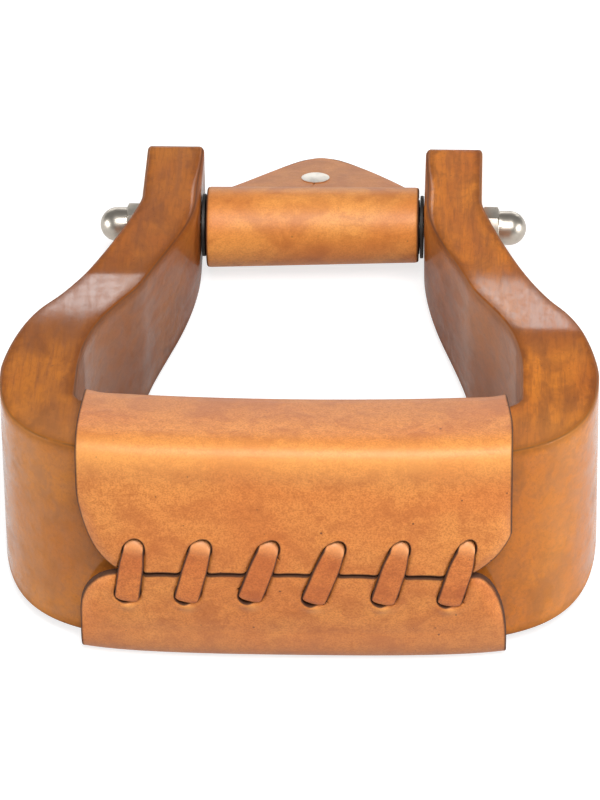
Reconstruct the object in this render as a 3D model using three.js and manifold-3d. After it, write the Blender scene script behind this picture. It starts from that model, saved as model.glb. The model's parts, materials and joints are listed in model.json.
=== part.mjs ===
import * as THREE from 'three';
import { mergeVertices } from 'three/addons/utils/BufferGeometryUtils.js';
import Module from 'manifold-3d';

// Western stirrup: two sawn wooden cheeks doweled to a tread board, a leather
// cover laced round the tread, and a leather roller that turns on a through
// bolt between the necks. Millimetres. X runs along the bolt, Y from the tread
// to the necks. The stirrup lies on its side, on the cover and the neck ends.

const wasm = await Module();
wasm.setup();

// Wooden frame
const frameHeight = 183;
const treadInsideWidth = 127;
const neckInsideWidth = 67.6;
const cheekWallAtTread = 22.4;
const cheekWallAtNeck = 17.3;
const frameDepthAtTread = 66;
const frameDepthAtNeck = 27;
const widestHeight = 44.4;
const neckStraight = 32;
const woodEdgeRound = 1.8;
const neckCornerRound = 2.2;
const footFillet = 6;

// The S of each cheek: where its outer and inner face cross from the belly to
// the neck, how far in from the belly, the lean of the face there in degrees,
// and how full the curve is after the belly, before and after the shoulder, and
// before the neck
const outerShoulder = { height: 84.1, setIn: 11, lean: 33.2, fullness: [0.13, 0.36, 0.3, 0.085] };
const innerShoulder = { height: 98.9, setIn: 16, lean: 15, fullness: [0.54, 0.24, 0.35, 0.31] };

// Fullness of the underside: flat under the foot, then round up the flank
const soleFullness = 0.725;
const flankFullness = 1.03;

// Tread board between the feet of the cheeks
const footLength = 13.5;
const treadThickness = 22.3;
const treadDish = 2.2;
const treadBelly = 4.45;
const dowelDiameter = 10;
const dowelLength = 38;
const dowelSpacing = 32;

// Leather cover of the tread
const coverEndGap = 2;
const coverLeather = 3.4;
const coverEase = 0.6;
const coverBend = 7;
const coverCrown = 2.2;
const coverCrownRunOut = 14;
const coverEndLift = 2.3;
const coverLiftRun = 8;
const seamHeight = -5;
const seamGap = 0.7;
const flapCornerRun = 9;
const upperFlapCorner = 17;
const lowerFlapCorner = 15;

// Lace of the seam
const laceWidth = 7.4;
const laceThickness = 1.5;
const stitchCount = 6;
const seamMargin = 13.75;
const stitchRowOffset = 1.2;
const stitchLean = 4.9;
const firstStitchLean = 1.1;
const stitchSpan = 15.6;
const stitchMiddle = -3.4;
const laceTail = 7;

// Bolt, nuts and washers
const boltFromEnd = 24;
const rodDiameter = 6.35;
const nutAcrossFlats = 11.11;
const nutHexHeight = 5;
const nutDomeDiameter = 10.4;
const nutHeight = 13.2;
const nutEndWall = 3.8;
const rodEndGap = 1;
const washerDiameter = 19;
const washerThickness = 1;

// Roller
const spacerDiameter = 12.7;
const coreDiameter = 17;
const rollerLeather = 2.85;
const flapReach = 40;
const flapDroop = 13.7;
const flapOffset = 4.4;
const flapTaperStart = 8;
const flapShoulderFullness = 0.75;
const flapTipFullness = 7.5;
const flapTipOffset = 1.2;
const rivetReach = 21.6;
const rivetCapDiameter = 8.6;
const rivetCapHeight = 1.1;
const rivetStemDiameter = 4;
const rivetPostDiameter = 2;
const rivetBaseHeight = 0.9;

// Clearances: between resting pieces, round turning or passing pieces
const fit = 0.3;
const turningFit = 0.3;
const laceFit = 0.4;

const wood = new THREE.MeshStandardMaterial({ color: 0xb0682c, roughness: 0.42, metalness: 0 });
const leather = new THREE.MeshStandardMaterial({ color: 0xc47a3e, roughness: 0.5, metalness: 0 });
const laceLeather = new THREE.MeshStandardMaterial({ color: 0xad6230, roughness: 0.6, metalness: 0 });
const nickel = new THREE.MeshStandardMaterial({ color: 0xc8c6c0, roughness: 0.22, metalness: 1 });
const steel = new THREE.MeshStandardMaterial({ color: 0x8f8e8a, roughness: 0.4, metalness: 1 });
const blackPlastic = new THREE.MeshStandardMaterial({ color: 0x151413, roughness: 0.55, metalness: 0 });
const beech = new THREE.MeshStandardMaterial({ color: 0xc9a070, roughness: 0.7, metalness: 0 });

// Sizes that follow from the driving ones
const innerHalfTread = treadInsideWidth / 2;
const innerHalfNeck = neckInsideWidth / 2;
const outerHalfTread = innerHalfTread + cheekWallAtTread;
const outerHalfNeck = innerHalfNeck + cheekWallAtNeck;
const halfBoard = innerHalfTread - footLength;
const halfCover = innerHalfTread - coverEndGap;
const neckStart = frameHeight - neckStraight;
const boltHeight = frameHeight - boltFromEnd;
const frameTaper = (frameDepthAtTread - frameDepthAtNeck) / 2 / frameHeight;
const radians = THREE.MathUtils.degToRad;

// Half depth of the wood at a height
function halfDepth(y) {
  return frameDepthAtTread / 2 - frameTaper * y;
}

// The cover stands proud of the wood, and its side lies in the plane that also
// touches the neck ends, so the stirrup rests flat on its side
const coverStand = coverEase + coverLeather;
const restSlope = (halfDepth(treadThickness) + coverStand - frameDepthAtNeck / 2)
  / (frameHeight - treadThickness);
const restAngle = Math.atan(restSlope);

function coverHalfDepth(y) {
  return halfDepth(treadThickness) + coverStand - restSlope * (y - treadThickness);
}

// Solids

function solid(geometry) {
  const bare = geometry.clone();
  bare.deleteAttribute('normal');
  bare.deleteAttribute('uv');
  const merged = facingOut(mergeVertices(bare, 1e-4));
  return new wasm.Manifold(new wasm.Mesh({
    numProp: 3,
    vertProperties: new Float32Array(merged.attributes.position.array),
    triVerts: new Uint32Array(merged.index.array),
  }));
}

function geometryOf(body) {
  const cut = body.getMesh();
  const geometry = new THREE.BufferGeometry();
  geometry.setAttribute('position', new THREE.BufferAttribute(cut.vertProperties, 3));
  geometry.setIndex(new THREE.BufferAttribute(cut.triVerts, 1));
  geometry.computeVertexNormals();
  return geometry;
}

// Turns the faces outwards, for mirrored pieces too
function facingOut(geometry) {
  const p = geometry.attributes.position;
  const index = geometry.index.array;
  const a = new THREE.Vector3();
  const b = new THREE.Vector3();
  const c = new THREE.Vector3();
  let volume = 0;
  for (let i = 0; i < index.length; i += 3) {
    a.fromBufferAttribute(p, index[i]);
    b.fromBufferAttribute(p, index[i + 1]);
    c.fromBufferAttribute(p, index[i + 2]);
    volume += a.dot(b.cross(c));
  }
  if (volume < 0) {
    for (let i = 0; i < index.length; i += 3) {
      [index[i + 1], index[i + 2]] = [index[i + 2], index[i + 1]];
    }
  }
  return geometry;
}

// A strip skinned over rings; each ring runs out along one face and back
// along the other, with as many points on each
function strip(rings) {
  const size = rings[0].length;
  const half = size / 2;
  const positions = rings.flat().flatMap((v) => [v.x, v.y, v.z]);
  const index = [];
  const quad = (a, b, c, d) => index.push(a, b, c, a, c, d);
  for (let r = 0; r + 1 < rings.length; r += 1) {
    for (let k = 0; k < size; k += 1) {
      const next = (k + 1) % size;
      quad(r * size + k, r * size + next, (r + 1) * size + next, (r + 1) * size + k);
    }
  }
  const last = (rings.length - 1) * size;
  for (let k = 0; k + 1 < half; k += 1) {
    quad(k, size - 1 - k, size - 2 - k, k + 1);
    quad(last + k, last + k + 1, last + size - 2 - k, last + size - 1 - k);
  }
  const geometry = new THREE.BufferGeometry();
  geometry.setAttribute('position', new THREE.Float32BufferAttribute(positions, 3));
  geometry.setIndex(index);
  return facingOut(geometry);
}

// Turned piece on the X axis; profile points are [radius, x]
function turned(profile, segments = 24) {
  const points = profile.map(([radius, x]) => new THREE.Vector2(radius, x));
  return new THREE.LatheGeometry(points, segments).rotateZ(-Math.PI / 2);
}

function bar(diameter, from, to, segments = 24) {
  return new THREE.CylinderGeometry(diameter / 2, diameter / 2, to - from, segments)
    .rotateZ(Math.PI / 2)
    .translate((from + to) / 2, 0, 0);
}

function ring(outer, inner, from, to, segments = 24) {
  const o = outer / 2;
  const i = inner / 2;
  return turned([[o, from], [o, to], [i, to], [i, from], [o, from]], segments);
}

// Rounds the corner at b between a and c, as points along the arc
function roundedCorner(a, b, c, radius, steps) {
  const toA = a.clone().sub(b).normalize();
  const toC = c.clone().sub(b).normalize();
  const half = Math.acos(THREE.MathUtils.clamp(toA.dot(toC), -1, 1)) / 2;
  const centre = toA.clone().add(toC).normalize().multiplyScalar(radius / Math.sin(half)).add(b);
  const start = toA.multiplyScalar(radius / Math.tan(half)).add(b).sub(centre);
  const end = toC.multiplyScalar(radius / Math.tan(half)).add(b).sub(centre);
  const turn = Math.atan2(start.cross(end), start.dot(end));
  const points = [];
  for (let i = 0; i <= steps; i += 1) {
    points.push(start.clone().rotateAround(new THREE.Vector2(), turn * i / steps).add(centre));
  }
  return points;
}

// Outlines of the wood

const v2 = (x, y) => new THREE.Vector2(x, y);

// Underside of the tread, swept out and up to the widest point of a cheek
const underside = new THREE.CubicBezierCurve(
  v2(0, -treadBelly),
  v2(soleFullness * outerHalfTread, -treadBelly),
  v2(outerHalfTread, (1 - flankFullness) * widestHeight),
  v2(outerHalfTread, widestHeight),
);

function undersideParameter(x) {
  let low = 0;
  let high = 1;
  for (let i = 0; i < 40; i += 1) {
    const middle = (low + high) / 2;
    if (underside.getPoint(middle).x < x) low = middle;
    else high = middle;
  }
  return (low + high) / 2;
}

function undersideAt(x) {
  return underside.getPoint(undersideParameter(Math.abs(x))).y;
}

// Foot side of the tread, dished along its length
function footSideAt(x) {
  return treadThickness + treadDish * (x / halfBoard) ** 2;
}

// One face of a cheek from the belly through its shoulder to the neck
function faceCurve(bellyX, bellyY, shoulder, neckX, neckY) {
  const steps = 9;
  const handles = shoulder.fullness;
  const middle = v2(bellyX - shoulder.setIn, shoulder.height);
  const lean = radians(shoulder.lean);
  const along = v2(-Math.sin(lean), Math.cos(lean));
  const rise = shoulder.height - bellyY;
  const reach = neckY - shoulder.height;
  const lower = new THREE.CubicBezierCurve(
    v2(bellyX, bellyY),
    v2(bellyX, bellyY + handles[0] * rise),
    middle.clone().addScaledVector(along, -handles[1] * rise),
    middle,
  );
  const upper = new THREE.CubicBezierCurve(
    middle,
    middle.clone().addScaledVector(along, handles[2] * reach),
    v2(neckX, neckY - handles[3] * reach),
    v2(neckX, neckY),
  );
  return [...lower.getPoints(steps), ...upper.getPoints(steps).slice(1)];
}

function cheekOutline() {
  const start = undersideParameter(halfBoard);
  const under = [];
  const steps = 14;
  for (let i = 0; i < steps; i += 1) {
    under.push(underside.getPoint(start + (1 - start) * i / steps));
  }
  const outer = faceCurve(outerHalfTread, widestHeight, outerShoulder, outerHalfNeck, neckStart);
  const inner = faceCurve(innerHalfTread, widestHeight, innerShoulder, innerHalfNeck, neckStart);
  const neckOuter = v2(outerHalfNeck, frameHeight);
  const neckInner = v2(innerHalfNeck, frameHeight);
  const foot = v2(innerHalfTread, footSideAt(innerHalfTread));
  const footEnd = v2(halfBoard, footSideAt(halfBoard));
  return [
    ...under,
    ...outer,
    ...roundedCorner(outer.at(-1), neckOuter, neckInner, neckCornerRound, 4),
    ...roundedCorner(neckOuter, neckInner, inner.at(-1), neckCornerRound, 4),
    ...inner.reverse(),
    ...roundedCorner(v2(innerHalfTread, widestHeight), foot, footEnd, footFillet, 5),
    footEnd,
  ];
}

// A slab sawn to an outline, thinner towards the neck, with its long edges rounded
function sawnPiece(outline) {
  const depth = frameDepthAtTread - 2 * woodEdgeRound;
  const geometry = new THREE.ExtrudeGeometry(new THREE.Shape(outline), {
    depth,
    bevelThickness: woodEdgeRound,
    bevelSize: woodEdgeRound,
    bevelOffset: -woodEdgeRound,
    bevelSegments: 2,
  }).translate(0, 0, -depth / 2);
  const p = geometry.attributes.position;
  for (let i = 0; i < p.count; i += 1) {
    p.setZ(i, p.getZ(i) - Math.sign(p.getZ(i)) * frameTaper * p.getY(i));
  }
  return geometry;
}

function dowelPlaces() {
  const middle = (undersideAt(halfBoard) + footSideAt(halfBoard)) / 2;
  return [dowelSpacing / 2, -dowelSpacing / 2].map((z) => new THREE.Vector3(halfBoard, middle, z));
}

function dowelHoles() {
  const reach = dowelLength / 2 + fit;
  return dowelPlaces().map((p) => solid(
    bar(dowelDiameter + 2 * fit, p.x - reach, p.x + reach, 16).translate(0, p.y, p.z),
  ));
}

function cheek() {
  let body = solid(sawnPiece(cheekOutline()));
  const boltHole = bar(rodDiameter + 2 * fit, innerHalfNeck / 2, outerHalfTread)
    .translate(0, boltHeight, 0);
  body = body.subtract(solid(boltHole));
  for (const hole of dowelHoles()) body = body.subtract(hole);
  return geometryOf(body);
}

function mirrored(geometry) {
  return facingOut(geometry.clone().scale(-1, 1, 1));
}

function treadBoard() {
  const end = halfBoard - fit;
  const steps = 12;
  const outline = [];
  for (let i = 0; i <= steps; i += 1) {
    const x = -end + 2 * end * i / steps;
    outline.push(v2(x, undersideAt(x)));
  }
  for (let i = steps; i >= 0; i -= 1) {
    const x = -end + 2 * end * i / steps;
    outline.push(v2(x, footSideAt(x)));
  }
  let body = solid(sawnPiece(outline));
  for (const side of [1, -1]) {
    for (const p of dowelPlaces()) {
      const reach = dowelLength / 2 + fit;
      const hole = bar(dowelDiameter + 2 * fit, -reach, reach, 16).translate(side * p.x, p.y, p.z);
      body = body.subtract(solid(hole));
    }
  }
  return geometryOf(body);
}

function dowel() {
  const r = dowelDiameter / 2;
  const chamfer = dowelDiameter / 10;
  const half = dowelLength / 2;
  return turned([[0, -half], [r - chamfer, -half], [r, -half + chamfer],
    [r, half - chamfer], [r - chamfer, half], [0, half]], 16);
}

// Leather cover of the tread

// Outer face of the cover over the underside, bulged where the lace lies behind it
function coverFrontAt(x, z, inset = 0) {
  const bendStart = frameDepthAtTread / 2 - coverBend;
  const across = Math.max(0, 1 - (z / bendStart) ** 2);
  const alongside = Math.max(0, 1 - (x / halfCover) ** coverCrownRunOut);
  return undersideAt(x) - coverStand - coverCrown * across * alongside + inset;
}

function coverFootAt(x, inset) {
  const lift = Math.max(0, (Math.abs(x) - halfCover) / coverLiftRun + 1);
  return footSideAt(x) + coverStand + coverEndLift * lift ** 2 - inset;
}

// Points of one half of the section, from the seam edge over the bend, along
// the side and over the foot-side bend to the middle of the foot side
function coverHalfSection(x, side, inset) {
  const run = Math.max(0, (Math.abs(x) - halfCover + flapCornerRun) / flapCornerRun);
  const rise = 1 - Math.sqrt(Math.max(0, 1 - run ** 2));
  const corner = side > 0 ? upperFlapCorner : lowerFlapCorner;
  const seamEdge = seamHeight + side * (seamGap / 2 + corner * rise);
  const front = coverFrontAt(x, frameDepthAtTread, inset);
  const foot = coverFootAt(x, inset);
  const thin = inset / Math.cos(restAngle);
  const frontCorner = v2(front, side * (coverHalfDepth(front) - thin));
  const footCorner = v2(foot, side * (coverHalfDepth(foot) - thin));
  const bend = coverBend - inset;
  const frontBend = roundedCorner(v2(front, seamEdge), frontCorner, footCorner, bend, 5);
  const footBend = roundedCorner(frontCorner, footCorner, v2(foot, 0), bend, 5);
  const section = [];
  const steps = 6;
  for (let i = 0; i < steps; i += 1) {
    const z = seamEdge + (frontBend[0].y - seamEdge) * i / steps;
    section.push(v2(coverFrontAt(x, z, inset), z));
  }
  section.push(...frontBend, frontBend.at(-1).clone().lerp(footBend[0], 0.5), ...footBend);
  return section;
}

function coverRing(x) {
  const path = (inset) => [
    ...coverHalfSection(x, 1, inset),
    v2(coverFootAt(x, inset), 0),
    ...coverHalfSection(x, -1, inset).reverse(),
  ];
  const place = (p) => new THREE.Vector3(x, p.x, p.y);
  return [...path(0).map(place), ...path(coverLeather).reverse().map(place)];
}

function coverStations() {
  const straight = halfCover - flapCornerRun;
  const steps = 10;
  const cornerSteps = 5;
  const stations = [];
  for (let i = 0; i <= steps; i += 1) stations.push(-straight + 2 * straight * i / steps);
  for (let i = 1; i <= cornerSteps; i += 1) {
    const x = straight + flapCornerRun * Math.sin(Math.PI / 2 * i / cornerSteps);
    stations.push(x);
    stations.unshift(-x);
  }
  return stations;
}

// Place on the cover's front: a point out from the middle of the leather, and
// the directions along the row, up the section and out of the leather
function onCover(x, z, out) {
  const step = 0.5;
  const face = (a, b) => new THREE.Vector3(a, coverFrontAt(a, b), b);
  const along = face(x + step, z).sub(face(x - step, z)).normalize();
  const up = face(x, z + step).sub(face(x, z - step)).normalize();
  const normal = along.clone().cross(up).normalize();
  const point = face(x, z).addScaledVector(normal, out - coverLeather / 2);
  return { point, along, up, normal };
}

// Lace: a flat thong that comes out of an upper hole, crosses the seam, goes
// in at the lower hole and runs on behind the cover to the next upper hole

const turnRadius = (coverLeather + laceThickness) / 2 + laceFit;

function stitchHoles() {
  const holes = [];
  const stitchPitch = 2 * (halfCover - seamMargin) / (stitchCount - 1);
  for (let i = 0; i < stitchCount; i += 1) {
    const x = stitchRowOffset + stitchPitch * (i - (stitchCount - 1) / 2);
    const lean = i === 0 ? firstStitchLean : stitchLean;
    holes.push({
      upper: { x, z: stitchMiddle + stitchSpan / 2 },
      lower: { x: x - lean, z: stitchMiddle - stitchSpan / 2 },
    });
  }
  return holes;
}

// Slot for the lace to pass, on the side of the hole that the thong rounds
function laceSlot(hole, side) {
  const nearEdge = Math.sqrt(Math.max(0, (turnRadius - laceThickness / 2) ** 2
    - (coverLeather / 2) ** 2)) - 2 * laceFit;
  const farEdge = turnRadius + laceThickness / 2 + laceFit;
  const halfWidth = laceWidth / 2 + laceFit;
  const corner = laceThickness / 2;
  const corners = [v2(-halfWidth, nearEdge), v2(halfWidth, nearEdge),
    v2(halfWidth, farEdge), v2(-halfWidth, farEdge)];
  const outline = corners.flatMap((b, i) => roundedCorner(
    corners[(i + 3) % 4], b, corners[(i + 1) % 4], corner, 3,
  ));
  const depth = 3 * coverLeather;
  const geometry = new THREE.ExtrudeGeometry(new THREE.Shape(outline), { depth, bevelEnabled: false })
    .translate(0, 0, -depth / 2);
  const { point, along, up, normal } = onCover(hole.x, hole.z, 0);
  const frame = new THREE.Matrix4().makeBasis(along, up.multiplyScalar(side), normal).setPosition(point);
  return solid(geometry.applyMatrix4(frame));
}

function treadCover() {
  let body = solid(strip(coverStations().map(coverRing)));
  for (const { upper, lower } of stitchHoles()) {
    body = body.subtract(laceSlot(upper, 1));
    body = body.subtract(laceSlot(lower, -1));
  }
  return geometryOf(body);
}

// Stations of the thong; each has its place and the direction of its width
function laceRoute() {
  const route = [];
  const run = (from, to, out, steps) => {
    const pull = Math.abs(to.z - from.z) / 2;
    const curve = new THREE.CubicBezierCurve(
      v2(from.x, from.z),
      v2(from.x, from.z + Math.sign(to.z - from.z) * pull),
      v2(to.x, to.z - Math.sign(to.z - from.z) * pull),
      v2(to.x, to.z),
    );
    for (let i = 1; i < steps; i += 1) {
      const at = curve.getPoint(i / steps);
      const heading = curve.getTangent(i / steps);
      const { point, along, up } = onCover(at.x, at.y, out);
      const sign = Math.sign(heading.y);
      const width = along.multiplyScalar(sign * heading.y).addScaledVector(up, -sign * heading.x);
      route.push({ point, width: width.normalize() });
    }
  };
  // Half turn through a hole, outwards at an upper hole and inwards at a lower one
  const turn = (hole, side) => {
    const steps = 6;
    for (let i = 0; i <= steps; i += 1) {
      const angle = side * (Math.PI * i / steps - Math.PI / 2);
      const { point, along, up } = onCover(hole.x, hole.z, turnRadius * Math.sin(angle));
      point.addScaledVector(up, side * turnRadius * Math.cos(angle));
      route.push({ point, width: along });
    }
  };
  const holes = stitchHoles();
  const first = holes[0].upper;
  const last = holes.at(-1).lower;
  run({ x: first.x, z: first.z - laceTail }, first, -turnRadius, 3);
  holes.forEach(({ upper, lower }, i) => {
    turn(upper, 1);
    run(upper, lower, turnRadius, 5);
    turn(lower, -1);
    if (i + 1 < holes.length) run(lower, holes[i + 1].upper, -turnRadius, 6);
  });
  run(last, { x: last.x, z: last.z + laceTail }, -turnRadius, 3);
  return route;
}

function lace() {
  const route = laceRoute();
  return strip(route.map(({ point, width }, i) => {
    const before = route[Math.max(0, i - 1)].point;
    const after = route[Math.min(route.length - 1, i + 1)].point;
    const heading = after.clone().sub(before).normalize();
    const flat = heading.clone().cross(width).normalize();
    const across = flat.clone().cross(heading).normalize();
    const corner = (w, t) => point.clone()
      .addScaledVector(across, w * laceWidth / 2)
      .addScaledVector(flat, t * laceThickness / 2);
    return [corner(-1, 1), corner(1, 1), corner(1, -1), corner(-1, -1)];
  }));
}

// Bolt and roller, all on the bolt axis

const washerInner = innerHalfNeck - fit - washerThickness;
const spacerHalf = washerInner - fit;
const rollerHalf = spacerHalf - fit / 2;
const coreHalf = rollerHalf - fit;

function capNut() {
  const seat = outerHalfNeck + fit;
  const circumradius = nutAcrossFlats / Math.sqrt(3);
  const domeRadius = nutDomeDiameter / 2;
  const hex = new THREE.CylinderGeometry(circumradius, circumradius, nutHexHeight, 6)
    .rotateZ(Math.PI / 2)
    .translate(seat + nutHexHeight / 2, 0, 0);
  const chamfer = circumradius - nutAcrossFlats / 2;
  const end = seat + nutHexHeight;
  const hull = turned([[0, seat], [nutAcrossFlats / 2, seat], [circumradius, seat + chamfer],
    [circumradius, end - chamfer], [nutAcrossFlats / 2, end], [0, end]], 36);
  const tip = seat + nutHeight;
  const profile = [[0, seat + nutHexHeight / 2], [domeRadius, seat + nutHexHeight / 2]];
  const steps = 7;
  for (let i = 0; i <= steps; i += 1) {
    const angle = Math.PI / 2 * i / steps;
    const radius = i === steps ? 0 : domeRadius * Math.cos(angle);
    profile.push([radius, tip - domeRadius + domeRadius * Math.sin(angle)]);
  }
  const bore = bar(rodDiameter + 2 * fit, seat - nutHexHeight, seat + nutHeight - nutEndWall);
  const body = solid(hex).intersect(solid(hull)).add(solid(turned(profile, 28)));
  return geometryOf(body.subtract(solid(bore)));
}

// Section of the strip of leather: round the core, its two ends laid together
// behind it. Drawn with the flap along +X; the flap's droop is turned in later.
function rollerSection() {
  const middle = coreDiameter / 2 + turningFit + rollerLeather / 2;
  const leaf = (rollerLeather + fit) / 2;
  const tip = flapReach + 2 * rollerLeather;
  const upperLeave = radians(62);
  const lowerLeave = radians(25);
  const wrap = (angle, side, level) => {
    const start = v2(middle * Math.cos(angle), side * middle * Math.sin(angle));
    const fall = (start.y - level) / Math.cos(angle) * side;
    const bend = v2(start.x + Math.sin(angle) * fall, level);
    const end = v2(bend.x + Math.abs(fall) / 2, level);
    return new THREE.QuadraticBezierCurve(start, bend, end).getPoints(5);
  };
  const centre = [v2(tip, flapOffset + leaf)];
  centre.push(...wrap(upperLeave, 1, flapOffset + leaf).reverse());
  const steps = 22;
  const sweep = 2 * Math.PI - upperLeave - lowerLeave;
  for (let i = 1; i < steps; i += 1) {
    const angle = upperLeave + sweep * i / steps;
    centre.push(v2(middle * Math.cos(angle), middle * Math.sin(angle)));
  }
  centre.push(...wrap(lowerLeave, -1, flapOffset - leaf));
  centre.push(v2(tip, flapOffset - leaf));
  const offset = (distance) => centre.map((p, i) => {
    const before = centre[Math.max(0, i - 1)];
    const after = centre[Math.min(centre.length - 1, i + 1)];
    const heading = after.clone().sub(before).normalize();
    return v2(p.x + heading.y * distance, p.y - heading.x * distance);
  });
  return [...offset(rollerLeather / 2), ...offset(-rollerLeather / 2).reverse()];
}

// Plan of the strip from above: full width round the roller, a rounded point behind
function flapPlan() {
  const side = (sign) => new THREE.CubicBezierCurve(
    v2(flapTaperStart, sign * rollerHalf),
    v2(flapReach / 2, sign * flapShoulderFullness * rollerHalf),
    v2(flapReach, sign * flapTipFullness - flapTipOffset),
    v2(flapReach, -flapTipOffset),
  ).getPoints(8);
  const back = -(coreDiameter + 2 * rollerLeather);
  return [v2(back, -rollerHalf), ...side(-1), ...side(1).reverse().slice(1), v2(back, rollerHalf)];
}

// From the drawing plane of the roller's section to the bolt axis
const sectionToAxis = new THREE.Matrix4().makeBasis(
  new THREE.Vector3(0, 1, 0),
  new THREE.Vector3(0, 0, 1),
  new THREE.Vector3(1, 0, 0),
);
const planToAxis = new THREE.Matrix4().makeBasis(
  new THREE.Vector3(0, 1, 0),
  new THREE.Vector3(-1, 0, 0),
  new THREE.Vector3(0, 0, 1),
);

function rollerCover() {
  const length = 2 * rollerHalf;
  const wrap = new THREE.ExtrudeGeometry(new THREE.Shape(rollerSection()), {
    depth: length,
    bevelEnabled: false,
  }).translate(0, 0, -rollerHalf).applyMatrix4(sectionToAxis);
  const height = 2 * (coreDiameter + rollerLeather);
  const plan = new THREE.ExtrudeGeometry(new THREE.Shape(flapPlan()), {
    depth: height,
    bevelEnabled: false,
  }).translate(0, 0, -height / 2).applyMatrix4(planToAxis);
  const hole = new THREE.CylinderGeometry(rivetStemDiameter / 2 + fit, rivetStemDiameter / 2 + fit, height, 20)
    .rotateX(Math.PI / 2)
    .translate(0, rivetReach, flapOffset);
  return geometryOf(solid(wrap).intersect(solid(plan)).subtract(solid(hole)));
}

// Double-cap rivet through both leaves of the flap
const flapHalfThickness = rollerLeather + fit / 2;

function rivetCap() {
  const seat = flapHalfThickness + fit;
  const r = rivetCapDiameter / 2;
  const stemEnd = seat - 2 * rollerLeather;
  const bore = rivetPostDiameter / 2 + fit;
  const profile = [[bore, seat], [bore, stemEnd], [rivetStemDiameter / 2, stemEnd],
    [rivetStemDiameter / 2, seat], [r - rivetCapHeight / 4, seat], [r, seat + rivetCapHeight / 4]];
  const steps = 5;
  for (let i = 1; i <= steps; i += 1) {
    const across = 1 - i / steps;
    profile.push([r * across, seat + rivetCapHeight * (1 - 0.75 * across ** 2)]);
  }
  profile.push([0, seat]);
  return rivetOnFlap([[0, seat], ...profile.slice(0, -1)]);
}

function rivetPost() {
  const seat = -flapHalfThickness - fit;
  const r = rivetCapDiameter / 2;
  const post = rivetPostDiameter / 2;
  const top = flapHalfThickness;
  return rivetOnFlap([[0, seat - rivetBaseHeight], [r - rivetBaseHeight / 2, seat - rivetBaseHeight],
    [r, seat - rivetBaseHeight / 2], [r, seat], [post, seat], [post, top], [0, top]]);
}

function rivetOnFlap(profile) {
  return new THREE.LatheGeometry(profile.map(([radius, z]) => v2(radius, z)), 28)
    .rotateX(Math.PI / 2)
    .translate(0, rivetReach, flapOffset);
}

// Assembly: the stirrup in its own mid-plane, then laid on its side

function named(name, geometry, material) {
  const merged = geometry.clone();
  merged.deleteAttribute('normal');
  merged.deleteAttribute('uv');
  const closed = facingOut(mergeVertices(merged, 1e-4));
  closed.computeVertexNormals();
  const mesh = new THREE.Mesh(closed, material.clone());
  mesh.name = name;
  return mesh;
}

const frame = new THREE.Group();
const rightCheek = cheek();
frame.add(named('right_cheek', rightCheek, wood));
frame.add(named('left_cheek', mirrored(rightCheek), wood));
frame.add(named('tread_board', treadBoard(), wood));
for (const [side, sign] of [['right', 1], ['left', -1]]) {
  dowelPlaces().forEach((p, i) => {
    const pin = named(`${side}_dowel_${i === 0 ? 'upper' : 'lower'}`, dowel(), beech);
    pin.position.set(sign * p.x, p.y, p.z);
    frame.add(pin);
  });
}
frame.add(named('tread_cover', treadCover(), leather));
frame.add(named('tread_lace', lace(), laceLeather));

const axle = new THREE.Group();
axle.position.y = boltHeight;
const rodHalf = outerHalfNeck + fit + nutHeight - nutEndWall - rodEndGap;
const nut = capNut();
const washer = ring(washerDiameter, rodDiameter + 2 * fit, washerInner, washerInner + washerThickness, 28);
axle.add(named('axle_rod', bar(rodDiameter, -rodHalf, rodHalf), steel));
axle.add(named('right_cap_nut', nut, nickel));
axle.add(named('left_cap_nut', mirrored(nut), nickel));
axle.add(named('right_washer', washer, steel));
axle.add(named('left_washer', mirrored(mergeVertices(washer)), steel));
axle.add(named('spacer_tube', ring(spacerDiameter, rodDiameter + 2 * fit, -spacerHalf, spacerHalf), steel));
frame.add(axle);

const roller = new THREE.Group();
roller.rotation.x = -radians(flapDroop);
const coreBore = spacerDiameter + 2 * turningFit;
roller.add(named('roller_core', ring(coreDiameter, coreBore, -coreHalf, coreHalf, 28), blackPlastic));
roller.add(named('roller_cover', rollerCover(), leather));
roller.add(named('flap_rivet_cap', rivetCap(), nickel));
roller.add(named('flap_rivet_post', rivetPost(), nickel));
axle.add(roller);

frame.rotation.x = -restAngle;
const stirrup = new THREE.Group();
stirrup.add(frame);
stirrup.updateMatrixWorld(true);
const extent = new THREE.Box3().setFromObject(stirrup, true);
frame.position.set(0, -(extent.min.y + extent.max.y) / 2, -extent.min.z);

export default stirrup;
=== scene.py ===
import json
from collections import Counter
from functools import cache
from math import atan2, copysign, cos, exp, hypot, pi, radians, sin, sqrt, tan

import bpy
from mathutils import Matrix, Vector, kdtree


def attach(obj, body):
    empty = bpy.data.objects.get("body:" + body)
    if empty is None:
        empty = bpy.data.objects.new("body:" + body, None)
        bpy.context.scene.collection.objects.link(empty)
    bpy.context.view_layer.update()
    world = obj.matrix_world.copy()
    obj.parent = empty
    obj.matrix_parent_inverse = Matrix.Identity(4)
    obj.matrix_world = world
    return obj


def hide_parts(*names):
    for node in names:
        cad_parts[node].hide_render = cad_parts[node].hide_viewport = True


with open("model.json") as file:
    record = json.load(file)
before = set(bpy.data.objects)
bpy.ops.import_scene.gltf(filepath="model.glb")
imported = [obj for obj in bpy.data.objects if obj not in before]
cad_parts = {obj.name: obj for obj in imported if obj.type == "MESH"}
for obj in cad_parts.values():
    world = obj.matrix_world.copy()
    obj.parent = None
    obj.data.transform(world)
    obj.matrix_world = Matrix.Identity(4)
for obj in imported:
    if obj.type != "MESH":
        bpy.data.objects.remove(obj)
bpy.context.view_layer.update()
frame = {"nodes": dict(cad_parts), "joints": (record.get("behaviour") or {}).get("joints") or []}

# Camera
# A long lens looks down on the stirrup from its tread end, a little from the right.
look_at = Vector((-0.00099, -0.02291, 0.0277))
camera_distance = 1.91
camera_bearing = radians(-2.659)
camera_height = radians(43.499)
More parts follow.
